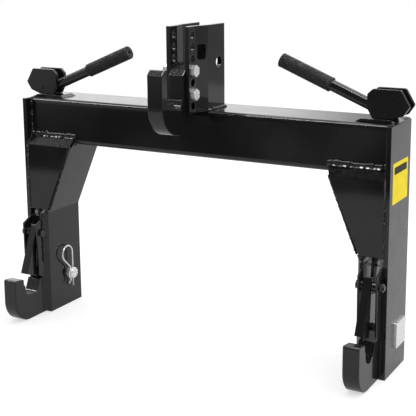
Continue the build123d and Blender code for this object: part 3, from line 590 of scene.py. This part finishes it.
def weld_ribbon(name, start, end, slope, out, wide):
    """A flat, slightly wavy run of weld from start to end, and its mirror image."""
    verts, faces = [], []
    for side in (1, -1):
        first = len(verts)
        for n in range(RIBBON_STEPS + 1):
            drift = RIBBON_WAVE * (math.sin(1.7 * n) + math.sin(0.61 * n + side))
            middle = start.lerp(end, n / RIBBON_STEPS) + out * drift
            half, back = slope * (wide / 2 + drift), out * RIBBON_THICK
            for corner in (middle - half, middle + half, middle + half - back, middle - half - back):
                verts.append((side * corner.x, corner.y, corner.z))
        for n in range(RIBBON_STEPS):
            a = first + 4 * n
            faces += [(a + k, a + (k + 1) % 4, a + 4 + (k + 1) % 4, a + 4 + k) for k in range(4)]
        last = first + 4 * RIBBON_STEPS
        faces += [tuple(range(first, first + 4)), tuple(range(last, last + 4))]
    mesh = plain_mesh(name, verts, faces)
    return add_piece(name, mesh, weld_enamel, "frame", smooth=False)


toe_from = Vector((cover_low[0] + 3 * MM, BEAM_FRONT - 4.2 * MM, COVER_TOP - 2.8 * MM))
toe_to = Vector((BEAM_END - 8 * MM, toe_from.y, toe_from.z))
toe_slope = Vector((0, math.sin(TOE_TILT), math.cos(TOE_TILT)))
toe_out = Vector((0, -math.cos(TOE_TILT), math.sin(TOE_TILT)))
toe = weld_ribbon("cover_top_toes", toe_from, toe_to, toe_slope, toe_out, TOE_WIDE)

seam_in = Vector((inner_high[0] - PLATE + 0.4 * MM, LEG_FRONT, 0))
seam_hook = Vector((hook_low[0], LEG_FRONT - 11 * MM, 0))
seam_slope = (seam_hook - seam_in).normalized()
seam_out = Vector((seam_slope.y, -seam_slope.x, 0))
seam_foot = (seam_in + seam_hook) / 2 + Vector((0, 0, 3 * MM))
seam_head = (seam_in + seam_hook) / 2 + Vector((0, 0, COVER_FOOT - 6 * MM))
seam_wide = (seam_hook - seam_in).length
seam = weld_ribbon("hook_seam_welds", seam_foot, seam_head, seam_slope, seam_out, seam_wide)
print("ribbons:", toe.name, seam.name)

# %% Paths of the other beads
COVER_BEND, MAST_BEND_Y, CHEEK_BEAD_FOOT = 20 * MM, 16 * MM, 105 * MM
KINK_X, KINK_Z = inner_high[0] - PLATE, 200 * MM
PLATE_LEAN = (KINK_X - inner_low[0]) / (BEAM_UNDERSIDE + (BEAM_FRONT - LEG_FRONT) - KINK_Z)
beam_end_path = [
    (BEAM_END, BEAM_FRONT + 1 * MM, BEAM_UNDERSIDE),
    (BEAM_END, BEAM_FRONT + 1 * MM, BEAM_TOP - 4 * MM),
    (BEAM_END, BEAM_FRONT + 6 * MM, BEAM_TOP - 0.5 * MM),
    (BEAM_END, LEG_BACK - 1 * MM, BEAM_TOP - 0.5 * MM),
    (BEAM_END, LEG_BACK, BEAM_TOP - 2 * MM),
    (BEAM_END, LEG_BACK, BEAM_UNDERSIDE + 2 * MM),
]
mast_foot_path = [
    (mast_low[0] + PLATE + 1 * MM, BEAM_FRONT + 8 * MM, BEAM_TOP),
    (mast_high[0] + 0.5 * MM, MAST_BEND_Y, BEAM_TOP + 0.5 * MM),
    (mast_high[0] + 0.5 * MM, mast_high[1], BEAM_TOP + 0.5 * MM),
]
plate_top_x = inner_low[0] + (BEAM_FRONT - LEG_FRONT) * PLATE_LEAN - 1 * MM
plate_top_path = [(plate_top_x, BEAM_FRONT + 3 * MM, BEAM_UNDERSIDE - 0.5 * MM),
                  (plate_top_x, LEG_BACK - 2 * MM, BEAM_UNDERSIDE - 0.5 * MM)]
cheek_x, cheek_y = cheek_low[0] - 1 * MM, LEG_FRONT - 8.5 * MM
cheek_path = [(cheek_x, cheek_y, CHEEK_BEAD_FOOT), (cheek_x, cheek_y, COVER_FOOT - 8 * MM)]
cover_side_path = [
    (BEAM_END, LEG_FRONT, COVER_FOOT),
    (BEAM_END, LEG_FRONT, COVER_TOP - COVER_BEND),
    (BEAM_END, BEAM_FRONT - 2 * MM, COVER_TOP - 2 * MM),
]
edge_foot_x = cover_low[0] + (COVER_TOP - COVER_FOOT) * PLATE_LEAN - 1 * MM
edge_bend_x = cover_low[0] + COVER_BEND * PLATE_LEAN - 1 * MM
cover_edge_path = [(edge_foot_x, LEG_FRONT + 3 * MM, COVER_FOOT + 2 * MM),
                   (edge_bend_x, LEG_FRONT + 3 * MM, COVER_TOP - COVER_BEND)]
WELDS = (  # name, path on the right side, bead radius and puddle gap in mm, seed
    ("beam_end_welds", beam_end_path, 3.2, 3.8, 5),
    ("mast_foot_welds", mast_foot_path, 4.4, 4.6, 7),
    ("leg_top_welds", plate_top_path, 3.2, 3.6, 11),
    ("cheek_welds", cheek_path, 2.6, 3.6, 13),
    ("cover_side_welds", cover_side_path, 2.2, 3.0, 19),
    ("cover_edge_welds", cover_edge_path, 2.4, 3.2, 17),
)
print(len(WELDS), "more beads on each side")

# %% Lay the other beads
for name, weld_path, radius, gap, seed in WELDS:
    bead(name, weld_path, radius * MM, gap * MM, seed)

# %% [markdown]
# ## Springs
# A coil spring under the beam pushes each pull rod down. Its wire is round.

# %% Coil spring tree
SPRING_WIRE, SPRING_RADIUS, SPRING_PITCH = 1.3 * MM, 8.5 * MM, 17 * MM
SPRING_PLAY = 0.3 * MM


def coil_tree():
    tree = bpy.data.node_groups.new("coil_spring", "GeometryNodeTree")
    start = new_inputs(tree, (
        ("Blank", "Geometry", None), ("Turns", "Float", 6.0), ("Coil Radius", "Float", 8.5 * MM),
        ("Height", "Float", 0.1), ("Wire Radius", "Float", 1.3 * MM), ("Left Handed", "Bool", False),
        ("Foot", "Vector", None), ("Lean", "Rotation", None), ("Finish", "Material", None)))
    coil = node(tree, "GeometryNodeCurveSpiral",
                {"Resolution": 28, "Rotations": start["Turns"], "Start Radius": start["Coil Radius"],
                 "End Radius": start["Coil Radius"], "Height": start["Height"],
                 "Reverse": start["Left Handed"]})
    rim = node(tree, "GeometryNodeCurvePrimitiveCircle",
               {"Resolution": 12, "Radius": start["Wire Radius"]})
    wire = node(tree, "GeometryNodeCurveToMesh",
                {"Curve": coil.outputs["Curve"], "Profile Curve": rim.outputs["Curve"],
                 "Fill Caps": True})
    stood = node(tree, "GeometryNodeTransform",
                 {"Geometry": wire.outputs["Mesh"], "Translation": start["Foot"],
                  "Rotation": start["Lean"]})
    return finish_tree(tree, stood.outputs["Geometry"], start["Finish"])


spring_tree = coil_tree()
print("coil spring tree has", len(spring_tree.nodes), "nodes")

# %% Springs on the rods
spring_out = SPRING_RADIUS + SPRING_WIRE
for side in ("left", "right"):
    lift = joint_of[side + "_rod_lift"]
    rod_up = Vector(lift["axis"])
    pivot = Vector(joint_of[side + "_lever_turn"]["pos_m"])
    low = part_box(side + "_spring")[0]
    top_run = (pivot.z - BEAM_UNDERSIDE) / rod_up.z + spring_out * rod_up.y / rod_up.z
    spring_top = pivot - rod_up * (top_run + SPRING_WIRE + SPRING_PLAY)
    reach = spring_top.z - low[2] - spring_out * rod_up.y
    height = (reach - SPRING_WIRE * rod_up.z) / rod_up.z
    foot = spring_top - rod_up * height
    values = {"Turns": height / SPRING_PITCH, "Coil Radius": SPRING_RADIUS, "Height": height,
              "Wire Radius": SPRING_WIRE, "Left Handed": side == "left", "Foot": foot,
              "Lean": rod_up.to_track_quat("Z", "X").to_euler(), "Finish": spring_steel}
    name = side + "_coil_spring"
    piece = placed(name, grown(name, bpy.data.meshes.new("spring_blank"), spring_tree, values))
    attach(piece, "frame")
    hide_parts(side + "_spring")
    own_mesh(piece)
    print(name, "height", round(height, 4), "turns", round(height / SPRING_PITCH, 2))

# %% [markdown]
# ## Grips
# Each lever ends in a push-on rubber grip. It is turned here like work on a lathe: a list of
# distances and radii along the bar is spun round it, with fine ribs for the fingers, a bevelled
# lip at the open end and a round-edged cap with a small hole in it that lets the air out.

# %% Grip profile
GRIP_FROM, GRIP_TO, GRIP_RADIUS = 103 * MM, 202 * MM, 12.5 * MM
GRIP_SKIN = GRIP_RADIUS - 0.1 * MM  # just inside the plain grip that it stands for
GRIP_CAP, GRIP_LIP, GRIP_STEPS = 1.8 * MM, 1.1 * MM, 48
BAR_RADIUS, BAR_ANGLE, BAR_DROP = 9.5 * MM, math.radians(22.5), 3.5 * MM
RIB_PITCH, RIB_DEPTH = 3.0 * MM, 0.5 * MM


def grip_stations():
    bore = BAR_RADIUS - 0.6 * MM
    stations = [(GRIP_FROM + 6 * MM, bore), (GRIP_FROM, bore), (GRIP_FROM, GRIP_SKIN - GRIP_LIP),
                (GRIP_FROM + 1.0 * MM, GRIP_SKIN)]
    run = GRIP_FROM + 4 * MM
    while run < GRIP_TO - 6 * MM:
        stations += [(run, GRIP_SKIN), (run + 0.8 * MM, GRIP_SKIN - RIB_DEPTH)]
        run += RIB_PITCH / 2
        stations += [(run + 0.4 * MM, GRIP_SKIN - RIB_DEPTH)]
        run += RIB_PITCH / 2
    for step in range(7):
        angle = math.pi / 2 * step / 6
        stations.append((GRIP_TO - GRIP_CAP * (1 - math.sin(angle)),
                         GRIP_SKIN - GRIP_CAP * (1 - math.cos(angle))))
    stations += [(GRIP_TO, 3.4 * MM), (GRIP_TO - 0.8 * MM, 2.5 * MM), (GRIP_TO - 7 * MM, 2.3 * MM)]
    return stations


print("grip profile has", len(grip_stations()), "stations")


# %% Rubber grips
def spun(stations, start, along):
    side_way = along.cross(Vector((0, 1, 0))).normalized()
    up_way = along.cross(side_way)
    verts, faces = [], []
    for run, radius in stations:
        for n in range(GRIP_STEPS):
            angle = 2 * math.pi * n / GRIP_STEPS
            spoke = side_way * math.cos(angle) + up_way * math.sin(angle)
            verts.append(start + along * run + spoke * radius)
    for ring in range(len(stations) - 1):
        for n in range(GRIP_STEPS):
            a, b = ring * GRIP_STEPS + n, ring * GRIP_STEPS + (n + 1) % GRIP_STEPS
            faces.append((a, b, b + GRIP_STEPS, a + GRIP_STEPS))
    last = (len(stations) - 1) * GRIP_STEPS
    faces += [tuple(range(GRIP_STEPS)), tuple(last + n for n in reversed(range(GRIP_STEPS)))]
    return plain_mesh("grip", verts, faces)


for side, sign in (("left", -1), ("right", 1)):
    pivot = Vector(joint_of[side + "_lever_turn"]["pos_m"])
    along = Vector((-sign * math.cos(BAR_ANGLE), 0, math.sin(BAR_ANGLE)))
    down = Vector((-sign * math.sin(BAR_ANGLE), 0, -math.cos(BAR_ANGLE)))
    mesh = spun(grip_stations(), pivot + down * BAR_DROP, along)
    grip = add_piece(side + "_rubber_grip", mesh, grip_rubber, side + "_lever")
    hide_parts(side + "_grip")
    print(grip.name, len(grip.data.polygons), "faces")

# %% [markdown]
# ## Link pin clips
# A clip of round spring wire keeps each link pin in: one straight leg goes through the pin and the
# other bends round it and grips. A poly curve with a round bevel is the quickest way to draw bent
# wire, and the curve is turned into a mesh once its bends are right.


# %% Clip line
def turned(first, last, share):
    angle = math.atan2(first.x * last.y - first.y * last.x, first.dot(last)) * share
    return Vector((first.x * math.cos(angle) - first.y * math.sin(angle),
                   first.x * math.sin(angle) + first.y * math.cos(angle)))


def rounded_path(points, radii, steps=10):
    """Corners of a polyline replaced by arcs of the given radii."""
    path = [points[0]]
    for n in range(1, len(points) - 1):
        here = points[n]
        into, away = (points[n - 1] - here).normalized(), (points[n + 1] - here).normalized()
        half = into.angle(away) / 2
        centre = here + (into + away).normalized() * (radii[n - 1] / math.sin(half))
        first = here + into * (radii[n - 1] / math.tan(half)) - centre
        last = here + away * (radii[n - 1] / math.tan(half)) - centre
        for step in range(steps + 1):
            path.append(centre + turned(first, last, step / steps))
    path.append(points[-1])
    return path


CLIP_WIRE, CLIP_LOOP, CLIP_RISE = 3.2 * MM, 15.5 * MM, 43.5 * MM
CLIP_TAIL, CLIP_FLARE, CLIP_INSET = 27 * MM, 10 * MM, 5 * MM
CLIP_LEAN, LOOP_STEPS = math.radians(45), 32
PIN_RADIUS, PIN_END = 11 * MM, 12.5 * MM
PIN_Y, PIN_Z = LEG_FRONT + 62 * MM, 64 * MM
hug = PIN_RADIUS + CLIP_WIRE / 2 + 0.05 * MM
loop_mid = Vector((PIN_Y - CLIP_LOOP, PIN_Z + CLIP_RISE))
loop_end = loop_mid - Vector((math.cos(CLIP_LEAN), math.sin(CLIP_LEAN))) * CLIP_LOOP
crest = Vector((PIN_Y - hug / math.cos(CLIP_LEAN), PIN_Z))
fall = Vector((math.sin(CLIP_LEAN), -math.cos(CLIP_LEAN)))
climb = Vector((math.sin(CLIP_LEAN), math.cos(CLIP_LEAN)))
waist_run = ((loop_end.y - crest.y) / math.cos(CLIP_LEAN)
             + (loop_end.x - crest.x) / math.sin(CLIP_LEAN)) / 2
waist, low_waist = crest + climb * waist_run, crest + fall * waist_run
clip_line = [Vector((PIN_Y, PIN_Z - CLIP_TAIL))]
for step in range(LOOP_STEPS + 1):
    angle = (math.pi + CLIP_LEAN) * step / LOOP_STEPS
    clip_line.append(loop_mid + Vector((math.cos(angle), math.sin(angle))) * CLIP_LOOP)
clip_line += rounded_path([loop_end, waist, crest, low_waist, low_waist - climb * CLIP_FLARE],
                          [CLIP_WIRE, hug, CLIP_WIRE])[1:]
print("clip line has", len(clip_line), "points")

# %% Wire clips
for side, sign in (("left", -1), ("right", 1)):
    clip_x = sign * (inner_high[0] - PLATE - PIN_END + CLIP_INSET)
    curve = bpy.data.curves.new(side + "_clip_line", "CURVE")
    curve.dimensions = "3D"
    curve.bevel_depth = CLIP_WIRE / 2
    curve.bevel_resolution = 4
    curve.use_fill_caps = True
    line = curve.splines.new("POLY")
    line.points.add(len(clip_line) - 1)
    for place, point in zip(line.points, clip_line):
        place.co = (clip_x, point.x, point.y, 1)
    holder = placed("clip_line", curve)
    bpy.context.view_layer.update()
    seen_now = holder.evaluated_get(bpy.context.evaluated_depsgraph_get())
    mesh = bpy.data.meshes.new_from_object(seen_now)
    bpy.data.objects.remove(holder)
    clip = add_piece(side + "_wire_clip", mesh, bright_wire, "frame")
    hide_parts(side + "_r_clip")
    print(clip.name, len(clip.data.polygons), "faces")

# %% [markdown]
# ## Sticker and patch
# A yellow sticker with one dark stripe sits on the right outer plate, and a matt, near-black patch
# makes a rounded area of the mast plate dark. Both are thin plates with rounded corners that stand
# a fraction of a millimetre proud of the steel, so they cast a thin edge, as a real sticker does.


# %% Films
def film_finish(name, dark, light, rough, shine):
    material, tree, skin = shader(name)
    give(tree, skin, {
        "Base Color": tint(tree, grain(tree, 60, 2), dark, light),
        "Roughness": remap(tree, grain(tree, 120, 2), rough, rough + 0.08),
        "Normal": bump(tree, grain(tree, 80, 2), 0.08 * MM),
        "Specular IOR Level": shine,
    })
    return material


def rounded_film(name, finish, middle, ways, wide, tall, corner, thick):
    """A thin plate on the frame, with ways as its across, up and outward directions."""
    across_way, up_way, out_way = ways
    outline = []
    for quarter, (right, top) in enumerate(((1, 1), (-1, 1), (-1, -1), (1, -1))):
        for step in range(7):
            angle = math.pi / 2 * (quarter + step / 6)
            outline.append((right * (wide / 2 - corner) + corner * math.cos(angle),
                            top * (tall / 2 - corner) + corner * math.sin(angle)))
    count = len(outline)
    verts = [middle + across_way * u + up_way * v + out_way * lift
             for lift in (0, thick) for u, v in outline]
    faces = [tuple(reversed(range(count))), tuple(range(count, 2 * count))]
    faces += [(n, (n + 1) % count, count + (n + 1) % count, count + n) for n in range(count)]
    return add_piece(name, plain_mesh(name, verts, faces), finish, "frame", smooth=False)


yellow_film = film_finish("yellow_film", (0.90, 0.70, 0.008), (0.98, 0.78, 0.012), 0.45, 0.25)
stripe_ink = film_finish("stripe_ink", (0.012, 0.012, 0.010), (0.03, 0.028, 0.02), 0.45, 0.25)
# The patch's finish is matt and near black, and it makes a rounded area of the mast plate dark.
dark_patch_finish = film_finish("dark_patch_finish", (0.003, 0.003, 0.003), (0.006, 0.006, 0.006), 0.85, 0.0)
print("films:", yellow_film.name, stripe_ink.name, dark_patch_finish.name)

# %% Sticker and patch
up_way = Vector((0, 0, 1))
side_ways = Vector((0, 1, 0)), up_way, Vector((1, 0, 0))
STICKER_WIDE, STICKER_TALL, STICKER_Y, STICKER_Z = 73 * MM, 67 * MM, 43 * MM, 325.5 * MM
STRIPE_TALL, STRIPE_DOWN, STRIPE_SHORTER, STRIPE_LIFT = 12 * MM, 13 * MM, 12 * MM, 0.2 * MM
sticker_at = Vector((leg_high[0], STICKER_Y, STICKER_Z))
sticker = rounded_film("yellow_sticker", yellow_film, sticker_at, side_ways,
                       STICKER_WIDE, STICKER_TALL, corner=2 * MM, thick=0.25 * MM)
stripe_at = sticker_at + up_way * (STICKER_TALL / 2 - STRIPE_DOWN) + side_ways[2] * STRIPE_LIFT
stripe = rounded_film("sticker_stripe", stripe_ink, stripe_at, side_ways,
                      STICKER_WIDE - STRIPE_SHORTER, STRIPE_TALL, corner=1 * MM, thick=0.1 * MM)
SPLAY_RUN, SPLAY_FROM = 30.4 * MM, -16.4 * MM  # the mast plate's splay, front to back
PATCH_WIDE, PATCH_TALL, PATCH_RUN, PATCH_Z = 21 * MM, 26 * MM, 15 * MM, 523.5 * MM
splay_way = Vector((mast_high[0] - mast_low[0] - PLATE, SPLAY_RUN, 0)).normalized()
splay_ways = splay_way, up_way, Vector((splay_way.y, -splay_way.x, 0))
splay_start = Vector((mast_low[0] + PLATE, SPLAY_FROM, 0))
patch_at = splay_start + splay_way * PATCH_RUN + up_way * PATCH_Z
patch = rounded_film("mast_patch", dark_patch_finish, patch_at, splay_ways,
                     PATCH_WIDE, PATCH_TALL, corner=5 * MM, thick=0.3 * MM)
print("on the steel:", sticker.name, stripe.name, patch.name)
